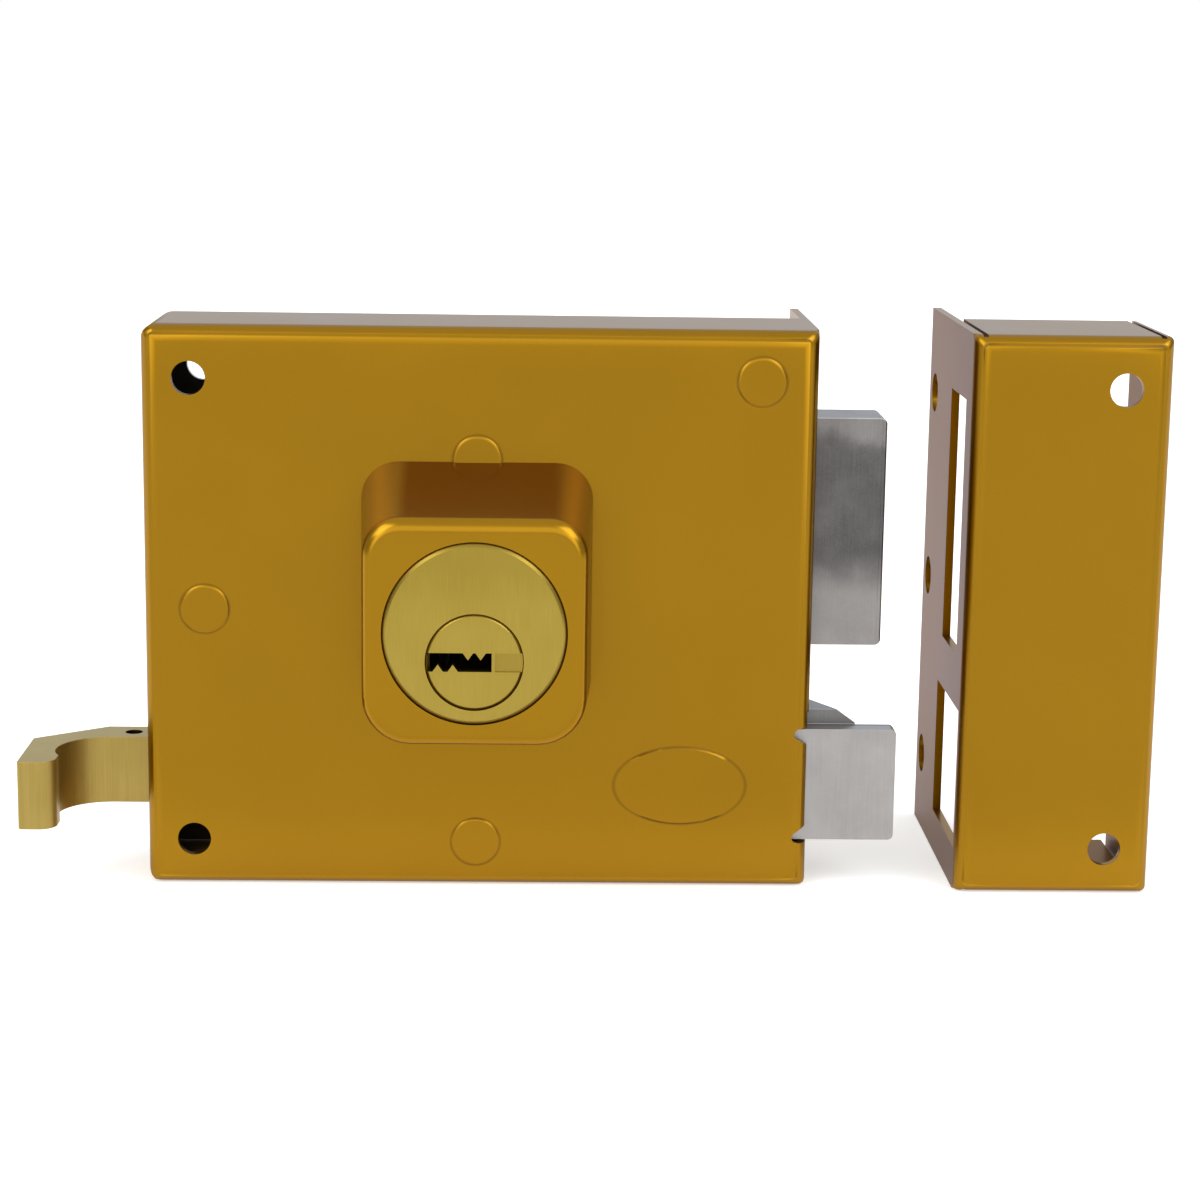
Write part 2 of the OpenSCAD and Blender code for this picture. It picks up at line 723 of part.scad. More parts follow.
// Cast head of the dead bolt, thinned at the back where its tail lies, and clear of the corner pillar
module dead_bolt_head() {
    pillar_room = pillar_d / 2 + run;
    pillar = pillar_places[0];
    low = [bolt_back, y_front + bolt_set, z_low + bolt_low];
    high = [x_right + bolt_throw, y_front + bolt_set + bolt_t, z_low + bolt_low + bolt_h];
    corner = 1.2;
    edge = 0.5;
    color(zinc) difference() {
        intersection() {
            along_y(low[1], bolt_t) round_rect([low[0], low[2]], [high[0], high[2]], corner);
            along_z(low[2], bolt_h) round_rect([low[0], low[1]], [high[0], high[1]], edge);
        }
        block([low[0] - past, y_tail, low[2] - past], [low[0] + tail_lap, high[1] + past, high[2] + past]);
        along_y(low[1] - past, bolt_t + 2 * past) round_rect(pillar - [1, 1] * pillar_room,
            pillar + [bolt_throw, 0] + [1, 1] * pillar_room, pillar_room - seat);
        for (place = tail_rivet_places()) round_y(place, low[1] - past, high[1], rivet_shank + 2 * seat);
    }
}

// Steel tail: a notch for the cam's finger and a slot for the guide stud
module dead_bolt_tail() {
    notch_x = finger_r * sin(finger_swing);
    slot_low = guide_x - guide_d / 2 - run;
    slot_high = guide_x + bolt_throw + guide_d / 2 + run;
    relief_x = notch_x - notch_w / 2 - relief_side;
    relief_z = guide_z - guide_d / 2 - relief_drop;
    color(steel) difference() {
        block([tail_left, y_tail, tail_low], [bolt_back + tail_lap, y_tail_end, tail_top]);
        block([tail_left - past, y_tail - past, tail_low - past], [relief_x, y_tail_end + past, relief_z]);
        block([notch_x - notch_w / 2, y_tail - past, tail_low - past],
            [notch_x + notch_w / 2, y_tail_end + past, notch_top]);
        along_y(y_tail - past, tail_t + 2 * past)
            round_rect([slot_low, guide_z - guide_d / 2 - run], [slot_high, guide_z + guide_d / 2 + run],
                guide_d / 2 + run - seat);
        for (place = tail_rivet_places())
            round_y(place, y_tail - past, y_tail_end + past, rivet_shank + 2 * seat);
    }
}

module tail_rivets() {
    color(steel) for (place = tail_rivet_places()) {
        round_y(place, y_front + bolt_set, y_tail_end, rivet_shank);
        cone_y(place, y_tail_end, y_tail_end + rivet_dome, 1.6 * rivet_shank, rivet_shank);
    }
}

// A stud riveted into the back plate, with a shoulder, a journal and an optional head
module stud(place, y_shoulder, y_end, d, head) {
    round_y(place, y_plate, 0, rivet_shank);
    round_y(place, y_shoulder, y_plate, shoulder_d);
    round_y(place, y_end, y_shoulder, d);
    if (head > 0) round_y(place, y_end - head, y_end, shoulder_d);
}

module guide_stud() {
    color(steel) stud([guide_x, guide_z], y_tail_end + run, y_tail - run, guide_d, stud_head);
}

module spring_stud() {
    y_middle = y_tail + tail_t / 2;
    color(steel) stud([leaf_x, leaf_z], y_middle + leaf_w / 2 + seat, y_middle - leaf_w / 2, leaf_stud_d, 0);
}

// Leaf spring that bears on the tail's top edge, curled round its stud and stopped by a pillar
module bolt_spring() {
    arm = norm(leaf_arm);
    y = y_tail + tail_t / 2 - leaf_w / 2;
    color(steel) along_y(y, leaf_w) difference() {
        union() {
            translate([leaf_x, leaf_z]) circle(leaf_ring);
            translate([leaf_x, leaf_z + leaf_ring - leaf_t]) square([-leaf_x, leaf_t]);
            translate([leaf_x, leaf_z - leaf_ring + leaf_t / 2])
                rotate(atan2(leaf_arm[1], leaf_arm[0])) translate([0, -leaf_t / 2]) square([arm, leaf_t]);
            translate(leaf_foot) circle(leaf_t);
        }
        translate([leaf_x, leaf_z]) circle(leaf_ring - leaf_t);
    }
}

// Places of the rivets that join the bar to the latch
function latch_rivet_places() = [for (x = [0.3, 0.75]) [latch_back + x * latch_lap, z_bar]];

// Cast latch: a plate flush behind the case's front, and a body behind it that is bevelled to its rear
module latch_bolt() {
    tip = x_right + latch_throw;
    body_tip = x_right + latch_body_out;
    bevel = latch_body_out - 1.5;
    corner_turn = 29;
    corner_up = 0.3;
    corner_run = 3;
    corner_rise = latch_rise - corner_up;
    color(zinc) difference() {
        union() {
            intersection() {
                block([latch_back, y_latch, z_latch], [tip, y_body, z_plate_top]);
                along_y(y_latch, latch_plate)
                    round_rect([latch_back - latch_tip_r, z_latch], [tip, z_plate_top], latch_tip_r);
            }
            difference() {
                along_z(z_latch, z_body_top - z_latch) polygon([[latch_back, y_body - past],
                    [body_tip, y_body - past], [body_tip, y_body], [body_tip - bevel, y_body_end],
                    [latch_back, y_body_end]]);
                translate([body_tip, y_body, z_plate_top + corner_up]) rotate([0, 0, corner_turn])
                    along_y(-latch_body / 2, 2 * latch_body) polygon([[-2 * corner_run, 2 * corner_rise],
                        [corner_run, -corner_rise], [corner_run, 2 * corner_rise]]);
            }
        }
        block([latch_back - past, y_latch - past, z_plate_top], [body_tip + past, y_body, z_body_top + past]);
        block([latch_back - past, y_bar - bar_t / 2, z_bar - bar_h / 2 - seat],
            [latch_back + latch_lap, y_body_end + past, z_bar + bar_h / 2 + seat]);
        for (place = latch_rivet_places()) round_y(place, y_body, y_body_end, rivet_shank + 2 * seat);
        round_x(latch_back - past, latch_back + rod_seat, rod_y, rod_z, rod_d + 2 * seat);
    }
}

// Steel bar from the latch, past the lever and through the case's wall, with a thick tongue in the pull
module latch_bar() {
    color(steel) difference() {
        union() {
            block([pull_root - tongue, y_bar - bar_t / 2, z_bar - bar_h / 2],
                [latch_back + latch_lap - seat, y_bar + bar_t / 2, z_bar + bar_h / 2]);
            block([pull_root - tongue, y_bar - tongue_t / 2, z_bar - bar_h / 2],
                [pull_root, y_bar + tongue_t / 2, z_bar + bar_h / 2]);
        }
        for (place = latch_rivet_places())
            round_y(place, y_bar - bar_t, y_bar + bar_t, rivet_shank + 2 * seat);
        round_y([lever_pin_x, z_bar], y_bar - bar_t, y_bar + bar_t, lever_pin_d + 2 * seat);
        round_z(pull_pin_x, y_bar, z_bar - bar_h, z_bar + bar_h, pull_pin_d + 2 * seat);
    }
}

module latch_rivets() {
    color(steel) for (place = latch_rivet_places()) {
        round_y(place, y_body + seat, y_bar + bar_t / 2, rivet_shank);
        cone_y(place, y_bar + bar_t / 2, y_bar + bar_t / 2 + rivet_dome, 1.6 * rivet_shank, rivet_shank);
    }
}

// Pin on the bar that rides in the lever's fork
module lever_pin() {
    color(steel) round_y([lever_pin_x, z_bar], y_lever, y_bar + bar_t / 2, lever_pin_d);
}

// Bell crank: one arm waits beside the cam, and the forked arm draws the latch bar
module latch_lever() {
    fork_end = norm([lever_h, latch_throw / 2]) + lever_pin_d / 2 + 2;
    fork_start = lever_h - lever_pin_d / 2 - 2 * run;
    fork_w = lever_pin_d + 2 * run;
    color(steel) translate([lever_x, 0, lever_z]) rotate([0, -lever_half, 0]) along_y(y_lever, lever_t)
        difference() {
            union() {
                circle(lever_hub_r);
                translate([-lever_w / 2, -fork_end]) square([lever_w, fork_end]);
                rotate(-lever_droop - lever_half) {
                    translate([0, -lever_end_r]) square([lever_reach, 2 * lever_end_r]);
                    translate([lever_reach, 0]) circle(lever_end_r);
                }
            }
            circle(lever_d / 2 + turn_fit);
            translate([-fork_w / 2, -fork_end - past]) square([fork_w, fork_end + past - fork_start]);
        }
}

module lever_stud() {
    color(steel) stud([lever_x, lever_z], y_lever_end + run / 2, y_lever - run / 2 - clip_t, lever_d, 0);
}

// Spring clip that keeps the lever on its stud
module lever_clip() {
    color(steel) difference() {
        round_y([lever_x, lever_z], y_lever - run / 2 - clip_t, y_lever - run / 2, shoulder_d);
        round_y([lever_x, lever_z], y_lever - 2 * past - clip_t, y_lever + past, lever_d + 2 * seat);
    }
}

// Rod fixed in the latch, which guides the spring through its bracket
module spring_rod() {
    color(steel) round_x(bracket_x - rod_tail, latch_back + rod_seat, rod_y, rod_z, rod_d);
}

module latch_spring() {
    length = latch_back - bracket_x - bracket_t - 2 * seat;
    color(steel) translate([bracket_x + bracket_t + seat, rod_y, rod_z]) rotate([0, 90, 0])
        coil(latch_coil_d / 2, latch_wire, length, latch_turns);
}

function bracket_rivet_place() = [bracket_x + bracket_foot - 3.5, rod_z];

// Angle bracket on the back plate: the spring's fixed seat
module spring_bracket() {
    low = rod_z - bracket_h / 2;
    high = rod_z + bracket_h / 2;
    color(steel) difference() {
        union() {
            block([bracket_x, rod_y - latch_coil_d / 2 - latch_wire, low],
                [bracket_x + bracket_t, y_plate, high]);
            block([bracket_x, y_plate - bracket_t, low], [bracket_x + bracket_foot, y_plate, high]);
        }
        round_x(bracket_x - past, bracket_x + bracket_t + past, rod_y, rod_z, rod_d + 2 * run);
        round_y(bracket_rivet_place(), y_plate - 2 * bracket_t, y_plate + past, rivet_shank + 2 * seat);
    }
}

module bracket_rivet() {
    color(steel) {
        round_y(bracket_rivet_place(), y_plate - bracket_t, 0, rivet_shank);
        cone_y(bracket_rivet_place(), y_plate - bracket_t - rivet_dome, y_plate - bracket_t, rivet_shank,
            1.5 * rivet_shank);
    }
}

// Hook pull: a straight arm, a chamfered back, a round inner curve and a blunt tip in front of the case
module pull_handle() {
    curve_x = tip_inner - tip_under + pull_curve;
    curve_y = arm_front - pull_curve;
    color(brass) difference() {
        along_z(z_bar - pull_h / 2, pull_h) difference() {
            union() {
                polygon([[pull_root, arm_back], [x_left - back_run, arm_back],
                    [pull_tip, arm_back - back_drop], [pull_tip, y_tip + tip_outer_r],
                    [pull_tip + tip_outer_r, y_tip],
                    [tip_inner - tip_inner_r, y_tip], [tip_inner, y_tip + tip_inner_r],
                    [tip_inner, curve_y], [curve_x, curve_y], [curve_x, arm_front], [pull_root, arm_front]]);
                translate([pull_tip, y_tip] + [1, 1] * tip_outer_r) circle(tip_outer_r);
                translate([tip_inner, y_tip] + [-1, 1] * tip_inner_r) circle(tip_inner_r);
            }
            translate([curve_x, curve_y]) circle(pull_curve);
        }
        block([pull_root - tongue - seat, y_bar - tongue_t / 2 - seat, z_bar - bar_h / 2 - seat],
            [pull_root + past, y_bar + tongue_t / 2 + seat, z_bar + bar_h / 2 + seat]);
        round_z(pull_pin_x, y_bar, z_bar - pull_h, z_bar + pull_h, pull_pin_d + 2 * seat);
    }
}

module pull_pin() {
    recess = 1.2;
    low = z_bar - pull_h / 2 + recess;
    color(steel) round_z(pull_pin_x, y_bar, low, low + pull_h - 2 * recess, pull_pin_d);
}

// Strike box: one folded sheet with open corner seams, a long flanged wall and a window for each bolt
module strike_box() {
    t = strike_sheet;
    color(gold_paint) difference() {
        union() {
            folded_block([sx, sy, z_low], [sx_end, sy_end, sz_end], strike_bend);
            block([sx, sy_end - strike_bend, z_low], [sx + t, sy_wall, sz_end]);
        }
        folded_block([sx + t, sy + t, z_low + t], [sx_end - t, sy_wall + past, sz_end - t], strike_bend - t);
        strike_seams();
        block([sx - past, bolt_window[0], bolt_window[2]], [sx + t + past, bolt_window[1], bolt_window[3]]);
        block([sx - past, y_latch - window_play, latch_window[1]],
            [sx + strike_bend, latch_window[0], latch_window[2]]);
        for (z = strike_holes)
            round_x(sx - past, sx + t + past, sy_wall - flange_hole_edge, z, flange_hole_d);
        for (z = [z_low + screw_low, sz_end - screw_high])
            round_y([strike_screw_x, z], sy - past, sy + t + past, screw_d);
    }
}

// Slits between the strike's top and bottom panels and its side walls
module strike_seams() {
    t = strike_sheet;
    for (x = [sx + t, sx_end - t - strike_seam], z = [z_low - past, sz_end - t - past])
        block([x, sy + strike_bend / 2, z], [x + strike_seam, sy_wall, z + t + 2 * past]);
}

lock_case();
back_plate();
pillars();
back_plate_screws();
cylinder_boss();
boss_screws();
cylinder_body();
plug();
key_pins();
driver_pins();
pin_springs();
pin_caps();
drive_cam();
cam_screws();
dead_bolt_head();
dead_bolt_tail();
tail_rivets();
guide_stud();
bolt_spring();
spring_stud();
latch_bolt();
latch_bar();
latch_rivets();
lever_pin();
latch_lever();
lever_stud();
lever_clip();
spring_rod();
latch_spring();
spring_bracket();
bracket_rivet();
pull_handle();
pull_pin();
strike_box();
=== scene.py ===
"""A rim box lock with its strike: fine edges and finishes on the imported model, in a plain white studio."""
import json
import math

import bpy
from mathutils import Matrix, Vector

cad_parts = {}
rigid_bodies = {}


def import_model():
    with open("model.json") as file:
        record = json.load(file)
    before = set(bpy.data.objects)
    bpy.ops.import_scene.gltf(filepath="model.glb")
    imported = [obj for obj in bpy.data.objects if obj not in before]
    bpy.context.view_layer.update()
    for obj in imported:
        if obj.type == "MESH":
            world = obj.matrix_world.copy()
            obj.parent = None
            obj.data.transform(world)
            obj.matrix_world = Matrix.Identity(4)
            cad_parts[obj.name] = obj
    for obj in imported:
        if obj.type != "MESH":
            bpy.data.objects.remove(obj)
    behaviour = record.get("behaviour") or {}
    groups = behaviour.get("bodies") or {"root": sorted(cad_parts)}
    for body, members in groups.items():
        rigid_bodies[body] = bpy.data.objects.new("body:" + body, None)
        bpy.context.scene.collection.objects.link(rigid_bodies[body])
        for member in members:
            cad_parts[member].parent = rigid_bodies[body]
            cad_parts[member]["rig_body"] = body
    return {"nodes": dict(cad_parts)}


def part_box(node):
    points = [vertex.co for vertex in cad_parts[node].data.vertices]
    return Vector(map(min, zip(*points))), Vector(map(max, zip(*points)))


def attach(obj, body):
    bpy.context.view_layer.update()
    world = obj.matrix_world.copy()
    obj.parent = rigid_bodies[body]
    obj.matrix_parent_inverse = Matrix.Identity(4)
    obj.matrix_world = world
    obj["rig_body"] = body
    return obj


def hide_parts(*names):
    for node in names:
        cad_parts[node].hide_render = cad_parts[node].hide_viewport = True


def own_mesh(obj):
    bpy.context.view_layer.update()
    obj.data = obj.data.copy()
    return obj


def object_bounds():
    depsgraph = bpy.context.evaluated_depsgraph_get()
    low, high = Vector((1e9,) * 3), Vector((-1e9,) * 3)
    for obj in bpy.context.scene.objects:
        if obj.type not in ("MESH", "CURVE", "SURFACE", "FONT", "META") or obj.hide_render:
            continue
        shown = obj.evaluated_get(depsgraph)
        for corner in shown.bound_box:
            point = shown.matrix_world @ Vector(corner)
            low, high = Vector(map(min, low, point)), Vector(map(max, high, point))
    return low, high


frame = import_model()
nodes = frame["nodes"]
cad_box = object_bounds()

# The case: one steel sheet, pressed and folded to a shallow box, with punched holes and windows and a
# forend that runs on past the door's edge. It is sprayed inside and out with a satin metallic gold. Round
# the rivet heads and the raised oval on its front runs a shallow groove, darkened with painted shade.
mm = 0.001
bend = 3 * mm
peel_depth = 0.006 * mm
case_low, case_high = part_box("lock_case")
case_front = -25 * mm
rivets = ((50.3 * mm, 41.8 * mm), (-48.6 * mm, 0), (0, -42.8 * mm), (0, 27.3 * mm))
rivet_r = 4.5 * mm


class Wire:
    """A socket of a node tree: sums on it add Math nodes, and node() adds any other node."""

    def __init__(self, tree, socket=None):
        self.tree = tree
        self.socket = socket

    def node(self, kind, settings=None, inputs=None, output=0):
        """Adds a node with its settings, then the values or links of its sockets."""
        made = self.tree.nodes.new("ShaderNode" + kind)
        for name, value in (settings or {}).items():
            setattr(made, name, value)
        for name, value in (inputs or {}).items():
            self.feed(value, made.inputs[name])
        return Wire(self.tree, made.outputs[output])

    def feed(self, value, socket):
        """Links a wire to a socket, or sets the socket to a plain value."""
        if isinstance(value, Wire):
            self.tree.links.new(value.socket, socket)
        else:
            socket.default_value = value

    def maths(self, operation, first, second=0.0):
        return self.node("Math", {"operation": operation}, {0: first, 1: second})

    def __abs__(self):
        return self.maths("ABSOLUTE", self)

    def __add__(self, other):
        return self.maths("ADD", self, other)

    def __radd__(self, other):
        return self.maths("ADD", other, self)

    def __sub__(self, other):
        return self.maths("SUBTRACT", self, other)

    def __rsub__(self, other):
        return self.maths("SUBTRACT", other, self)

    def __mul__(self, other):
        return self.maths("MULTIPLY", self, other)

    def __rmul__(self, other):
        return self.maths("MULTIPLY", other, self)


def between(value, low, high):
    """0 below low, 1 above high, and smooth between them."""
    return value.node("MapRange", {"interpolation_type": "SMOOTHSTEP"},
                      {"Value": value, "From Min": low, "From Max": high})


def blended(share, first, second):
    """Two colours, mixed by a share from 0 to 1."""
    return share.node("Mix", {"data_type": "RGBA"}, {0: share, 6: first, 7: second}, output=2)


def along(place, axis):
    """The place along one axis, in metres."""
    return place.node("SeparateXYZ", inputs={"Vector": place}, output=axis)


def reach(place, middle, scale):
    """How far a place lies from a middle, along the axes that are given a scale above 0."""
    offset = [-centre * times for centre, times in zip(middle, scale)]
    moved = place.node("Mapping", inputs={"Vector": place, "Location": offset, "Scale": scale})
    return moved.node("VectorMath", {"operation": "LENGTH"}, {0: moved}, output="Value")


def grain(place, size, detail=2.0, stretch=(1, 1, 1)):
    """Even noise of that grain size, drawn out along an axis where stretch is above 1."""
    scale = tuple(1 / (size * times) for times in stretch)
    drawn = place.node("Mapping", inputs={"Vector": place, "Scale": scale})
    return drawn.node("TexNoise", inputs={"Vector": drawn, "Scale": 1.0, "Detail": detail})


def new_finish(name, metallic=1.0):
    """A material, its shader, and the place on the piece that its patterns are read from."""
    finish = bpy.data.materials.new(name)
    finish.use_nodes = True
    shader = finish.node_tree.nodes["Principled BSDF"]
    shader.inputs["Metallic"].default_value = metallic
    place = Wire(finish.node_tree).node("TexCoord", output="Object")
    return finish, shader, place


def lay(place, shader, colour, roughness, height, depth):
    """Joins a finish's colour, roughness and relief to its shader."""
    place.feed(colour, shader.inputs["Base Color"])
    place.feed(roughness, shader.inputs["Roughness"])
    relief = place.node("Bump", inputs={"Strength": 1.0, "Distance": depth, "Height": height})
    place.feed(relief, shader.inputs["Normal"])


def select_only(piece):
    """Makes a piece the only one that the next operator acts on."""
    bpy.ops.object.select_all(action="DESELECT")
    piece.select_set(True)
    bpy.context.view_layer.objects.active = piece


def merged_copy(node, name):
    """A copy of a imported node's mesh, its triangles merged to whole faces."""
    piece = bpy.data.objects.new(name, nodes[node].data.copy())
    bpy.context.collection.objects.link(piece)
    select_only(piece)
    bpy.ops.mesh.customdata_custom_splitnormals_clear()
    bpy.ops.object.mode_set(mode="EDIT")
    bpy.ops.mesh.select_all(action="SELECT")
    bpy.ops.mesh.remove_doubles(threshold=0.002 * mm)
    bpy.ops.mesh.dissolve_limited(angle_limit=math.radians(0.4))
    bpy.ops.object.mode_set(mode="OBJECT")
    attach(piece, nodes[node]["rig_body"])
    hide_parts(node)
    return piece


def soften_corners(piece, low, high, front, rear):
    """Rounds off the ridges where the bends of a folded box meet at its front corners."""
    skin = 0.05 * mm
    mitre = 0.01 * mm
    rounding = 1.1 * mm

    def on_ridge(co):
        x = min(co.x - low.x, high.x - co.x)
        z = min(co.z - low.z, high.z - co.z)
        from_axis = math.hypot(bend - x, bend - co.y + front)
        outside = x < skin or abs(from_axis - bend) < skin
        return outside and abs(x - z) < mitre and x < 0.6 * bend and co.y < rear

    select_only(piece)
    bpy.ops.object.mode_set(mode="EDIT")
    bpy.ops.mesh.select_mode(type="EDGE")
    bpy.ops.mesh.select_all(action="DESELECT")
    bpy.ops.object.mode_set(mode="OBJECT")
    for edge in piece.data.edges:
        first, second = (piece.data.vertices[v].co for v in edge.vertices)
        near = abs(first.x - second.x) < bend and abs(first.z - second.z) < bend
        edge.select = near and on_ridge(first) and on_ridge(second)
    bpy.ops.object.mode_set(mode="EDIT")
    bpy.ops.mesh.bevel(offset=rounding, segments=5, affect="EDGES", clamp_overlap=True)
    bpy.ops.object.mode_set(mode="OBJECT")


def finished(piece, finish, edge, worn=None, sharp=38):
    """Gives a piece its finish and rounded edges, which take the worn finish where there is one."""
    piece.data.materials.clear()
    piece.data.materials.append(finish)
    if worn:
        piece.data.materials.append(worn)
    select_only(piece)
    bpy.ops.object.modifier_add(type="BEVEL")
    bevel = piece.modifiers[-1]
    bevel.width = edge
    bevel.segments = 3
    bevel.limit_method = "ANGLE"
    bevel.angle_limit = math.radians(sharp)
    bevel.material = 1 if worn else -1
    bpy.ops.object.modifier_apply(modifier=bevel.name)
    bpy.ops.object.shade_smooth_by_angle(angle=math.radians(sharp - 4))
    bpy.ops.object.modifier_add(type="WEIGHTED_NORMAL")
    piece.modifiers[-1].keep_sharp = True
    bpy.ops.object.modifier_apply(modifier=piece.modifiers[-1].name)


def gold_paint(name, cloud_size, lift=1.0):
    """Satin metallic paint under a thin lacquer: fine flakes, soft clouds and a slight orange peel."""
    finish, shader, place = new_finish(name)
    flake = grain(place, 0.13 * mm)
    cloud = grain(place, cloud_size)
    peel = grain(place, 0.9 * mm, 1.0)
    dark = (0.288 * lift, 0.146 * lift, 0.0004, 1)
    light = (0.336 * lift, 0.171 * lift, 0.0008, 1)
    colour = blended((flake - 0.5) * 0.8 + (cloud - 0.5) * 0.6 + 0.5, dark, light)
    roughness = 0.25 + 0.06 * cloud + 0.06 * flake
    shader.inputs["Specular Tint"].default_value = (0.62, 0.60, 0.62, 1)
    shader.inputs["Coat Weight"].default_value = 0.24
    shader.inputs["Coat Roughness"].default_value = 0.2
    return finish, shader, place, colour, roughness, peel + flake * 0.25


def shaded_groove(place, x, z, half_w, half_h):
    """1 along the base of a raised disc or oval on the case's front, for a groove and painted shade there.
    """
    line = 0.32 * mm / min(half_w, half_h)
    out = reach(place, (x, 0, z), (1 / half_w, 0, 1 / half_h))
    return between(out, 1 - line, 1) * (1 - between(out, 1, 1 + line))


def on_front(place, front):
    """1 on the front of a folded box, and 0 on its walls."""
    return 1 - between(along(place, "Y"), front + 0.2 * mm, front + 0.6 * mm)


def drawn_in(place, axis, low, high):
    """How far the front is drawn in towards the bends at the two ends of an axis, from 0 to 1."""
    drawn_w = 15 * mm
    half = (high - low) / 2
    off = abs(along(place, axis) - (low + high) / 2)
    share = off.node("MapRange", {"clamp": True},
                     {"Value": off, "From Min": half - drawn_w, "From Max": half - mm})
    return share * share * share


def dished(place, low, high, front):
    """How deep the front of a folded box is dished towards its bends, in depths of the peel."""
    ends = drawn_in(place, "X", low.x, high.x) + drawn_in(place, "Z", low.z, high.z)
    return ends * on_front(place, front) * 85


gold, shader, place, colour, roughness, height = gold_paint("satin_gold_paint", 24 * mm)
foot = shaded_groove(place, 37 * mm, -32 * mm, 12 * mm, 7.25 * mm)
for x, z in rivets:
    foot = foot + shaded_groove(place, x, z, rivet_r, rivet_r)
foot = foot * on_front(place, case_front)
# The bases of the rivet heads and of the oval are darkened: painted shade in their creases.
colour = blended(foot * 0.5, colour, (0.12, 0.056, 0.0004, 1))
height = height - foot * 6 - dished(place, case_low, case_high, case_front)
lay(place, shader, colour, roughness, height, peel_depth)
gold_edge, shader, place, colour, roughness, height = gold_paint("gold_paint_on_edges", 24 * mm, 1.12)
lay(place, shader, colour, roughness, height, peel_depth)

case = merged_copy("lock_case", "painted_case")
soften_corners(case, case_low, case_high, case_front, rear=0.1 * mm)
finished(case, gold, 0.22 * mm, gold_edge)

# The pillars: turned steel posts inside the case. Their necks are riveted over on the front, where the
# heads are sprayed with the case, and they carry the back plate.
steel, shader, place = new_finish("bright_turned_steel")
ring = grain(place, 0.2 * mm, 2.0, (40, 1, 40))
cloud = grain(place, 6 * mm)
colour = blended(ring * 0.6 + cloud * 0.4, (0.36, 0.36, 0.36, 1), (0.52, 0.52, 0.53, 1))
lay(place, shader, colour, 0.22 + 0.2 * ring, ring, 0.004 * mm)

pillars = merged_copy("pillars", "riveted_pillars")
finished(pillars, gold, 0.2 * mm, steel, sharp=25)
for face in pillars.data.polygons:
    face.material_index = 0 if face.center.y < case_front + 0.1 * mm else 1

# The boss: a zinc casting that takes the cylinder's thrust, screwed on from inside the case. It has a
# smoother skin than the sheet and is sprayed with the same gold. Its sloping top is painted darker and
# duller as shade, and the slope's two corners lighter and matter as painted light, the left one most.
cast_gold, shader, place, colour, roughness, height = gold_paint("satin_gold_on_casting", 15 * mm, 1.07)
lean = 0.38
rise = along(place, "Z") - lean * along(place, "Y")
behind_edge = between(along(place, "Y"), -43.6 * mm, -42.6 * mm)
slope = between(rise, 29.5 * mm, 31.5 * mm) * behind_edge
corners = slope * between(abs(along(place, "X") - 0.8 * mm), 12.4 * mm, 15.2 * mm)
# Painted shade: the slope takes a darker, duller gold.
colour = blended(slope, colour, (0.275, 0.132, 0.020, 1))
colour = blended(corners, colour, (0.282, 0.151, 0.0167, 1))
# Painted light: the slope's corners are made less metallic and lighter, the left more than the right.
corner_lighting = 0.29 - 0.16 * between(along(place, "X"), -13 * mm, 13 * mm)
place.feed(1 - slope * 0.06 - corners * corner_lighting, shader.inputs["Metallic"])
lay(place, shader, colour, roughness - 0.07, height, 0.003 * mm)
finished(merged_copy("cylinder_boss", "painted_boss"), cast_gold, 0.15 * mm)

# The key cylinder: a turned brass body, brushed up and down across its face, with a bright turned bevel.
# The plug turns in it. The face is painted darker towards its top, with a thin dark line just behind it,
# and everything deeper in, the keyway and the gaps, near black: all of it painted shade.
brass, shader, place = new_finish("brushed_brass")
streak = grain(place, 0.1 * mm, 3.0, (1, 1, 60))
cloud = grain(place, 8 * mm)
depth = along(place, "Y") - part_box("cylinder_body")[0].y
# Painted shade: a thin line just behind the face, near black deeper in, and darker towards the top.
groove = between(depth, 0.15 * mm, 0.45 * mm)
recess_shade = between(depth, 1.0 * mm, 2.4 * mm)
upper = between(along(place, "Z"), 0, 14 * mm)
tone = (streak - 0.5) * 1.1 + (cloud - 0.5) * 0.5 + 0.6 - 0.45 * upper
colour = blended(tone, (0.325, 0.230, 0.036, 1), (0.425, 0.308, 0.060, 1))
colour = blended(groove * 0.25, colour, (0.17, 0.105, 0.014, 1))
colour = blended(recess_shade * 0.88, colour, (0.04, 0.027, 0.007, 1))
lay(place, shader, colour, 0.24 + 0.16 * streak, streak, 0.004 * mm)
finished(merged_copy("cylinder_body", "brass_cylinder"), brass, 0.12 * mm)
finished(merged_copy("plug", "brass_plug"), brass, 0.14 * mm)

# The pin stacks: brass key pins, and steel driver pins on fine coil springs. They are turned to size and
# dropped into the cylinder's five holes, which brass caps close.
turned_brass, shader, place = new_finish("turned_brass")
ring = grain(place, 0.15 * mm, 2.0, (30, 30, 1))
colour = blended(ring, (0.33, 0.235, 0.038, 1), (0.43, 0.31, 0.062, 1))
lay(place, shader, colour, 0.25 + 0.15 * ring, ring, 0.003 * mm)
for node, finish in (("key_pins", turned_brass), ("pin_caps", turned_brass),
                     ("driver_pins", steel), ("pin_springs", steel)):
    for holder in nodes[node].material_slots:
        holder.material = finish

# The dead bolt's head: a zinc casting, ground on its faces and riveted to a steel tail. Its upper part is
# darker, in cloudy patches, and its edges are rubbed bright.


